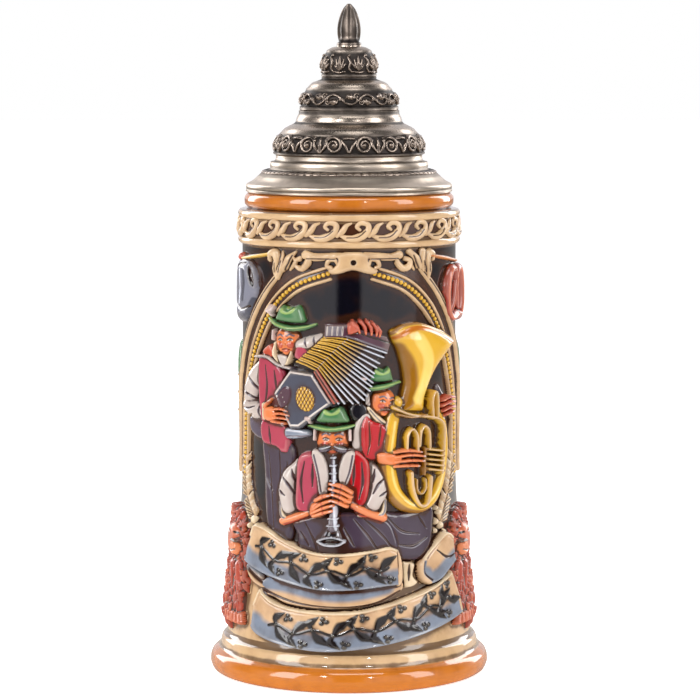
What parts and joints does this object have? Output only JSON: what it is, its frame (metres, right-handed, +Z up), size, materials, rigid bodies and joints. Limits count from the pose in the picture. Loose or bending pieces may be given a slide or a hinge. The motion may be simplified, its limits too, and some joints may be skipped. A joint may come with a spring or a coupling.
{
  "type": "beer stein",
  "caption": "Tall lidded stoneware beer stein with applied figure relief, a loop handle and a hinged, tiered pewter lid with a thumb lift.",
  "frame": {"origin": "centre of the foot's standing ring, on the mug's axis", "axes": "+Z up along the mug's axis; -Y towards the relief on the front; +Y towards the handle and the lid's hinge; +X to the right of someone looking at the front"},
  "size_m": [0.1258, 0.1599, 0.3],
  "materials": {
    "stoneware": "deep blue-black glaze on the wall, cream ridges, orange-brown glaze on the foot and the rim",
    "cream_relief": "cream glaze with a brown wash in the hollows",
    "coloured_relief": "hand-painted figures under a clear glaze",
    "gold_relief": "yellow-gold glaze, worn brown in the hollows",
    "beast_relief": "red-brown glaze",
    "handle_glaze": "orange-brown glaze with a brown wash",
    "pewter": "cast and turned pewter, polished, with a dark patina in the hollows",
    "steel_pin": "drawn steel wire"
  },
  "bodies": {
    "stein": {"mug_body": "stoneware", "handle": "handle_glaze", "leaf_band": "cream_relief", "arch_frame": "cream_relief", "cartouche": "cream_relief", "left_tower": "coloured_relief", "right_tower": "coloured_relief", "left_swag": "cream_relief", "right_swag": "cream_relief", "hanging_mug": "coloured_relief", "pretzel": "beast_relief", "left_lion": "beast_relief", "right_lion": "beast_relief", "left_player": "coloured_relief", "right_player": "coloured_relief", "middle_player": "coloured_relief", "lower_ribbon": "cream_relief", "ribbon_curl": "cream_relief", "upper_ribbon": "cream_relief", "squeezebox": "coloured_relief", "big_horn": "gold_relief", "pipe": "coloured_relief", "hinge_block": "pewter", "handle_collar": "pewter", "hinge_pin": "steel_pin", "pin_caps": "pewter"},
    "lid": {"lid_flange": "pewter", "lower_tier": "pewter", "middle_tier": "pewter", "upper_tier": "pewter", "finial": "pewter", "finial_screw": "steel_pin", "lid_hinge_leaf": "pewter", "thumb_lift": "pewter"}
  },
  "joints": [
    {"name": "lid_hinge", "type": "hinge", "parent": "stein", "child": "lid", "pos_m": [0, 0.058, 0.221], "axis": [-1, 0, 0], "range_deg": [0, 95]}
  ]
}
